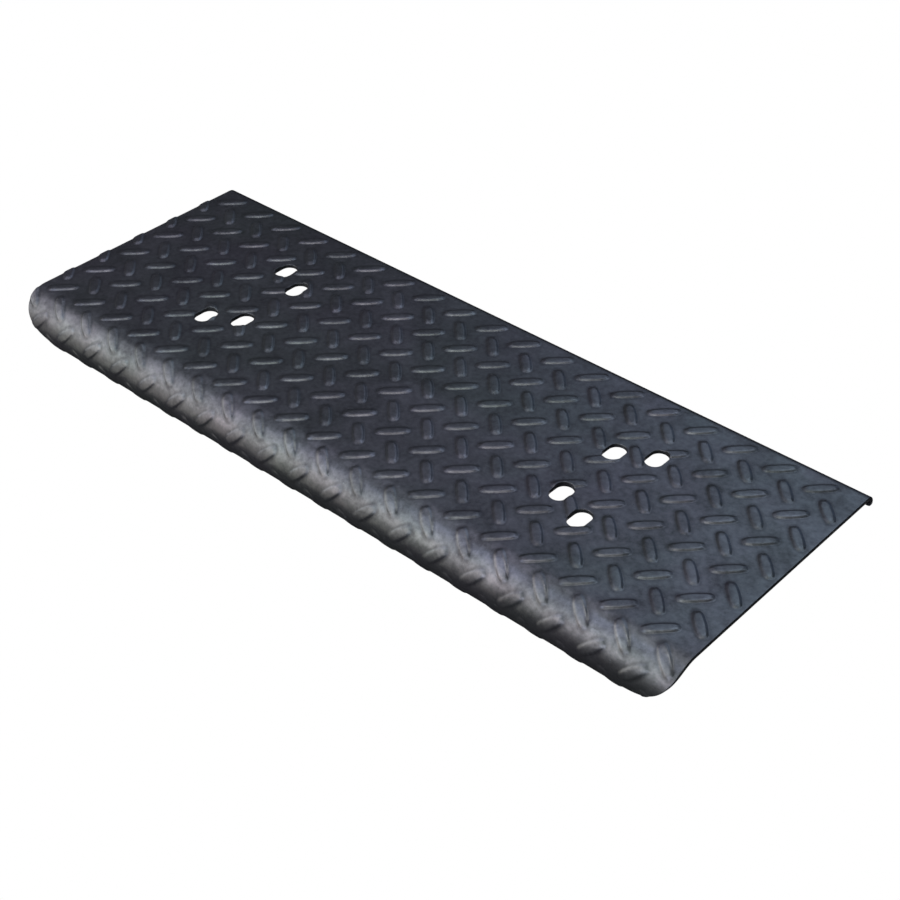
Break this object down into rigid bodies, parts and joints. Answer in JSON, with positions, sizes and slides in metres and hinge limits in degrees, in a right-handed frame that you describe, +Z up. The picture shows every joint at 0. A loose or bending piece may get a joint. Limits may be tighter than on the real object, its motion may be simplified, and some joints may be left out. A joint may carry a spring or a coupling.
{
  "type": "running board",
  "caption": "Flat tread-plate step with raised diamond lugs, a rolled rounded front nose, a turned-down rear lip and slotted bolt holes near each end.",
  "frame": {"origin": "on the underside of the deck, in the middle of the slot pattern", "axes": "+X along the board's length, +Y towards the vehicle (the turned-down rear lip), +Z up; the rolled nose is at -Y"},
  "size_m": [0.6, 0.218, 0.0384],
  "materials": {
    "black_powder_coat": "satin black powder coat, faintly blue, with a fine orange-peel texture"
  },
  "bodies": {
    "root": {"tread_plate": "black_powder_coat"}
  },
  "joints": []
}
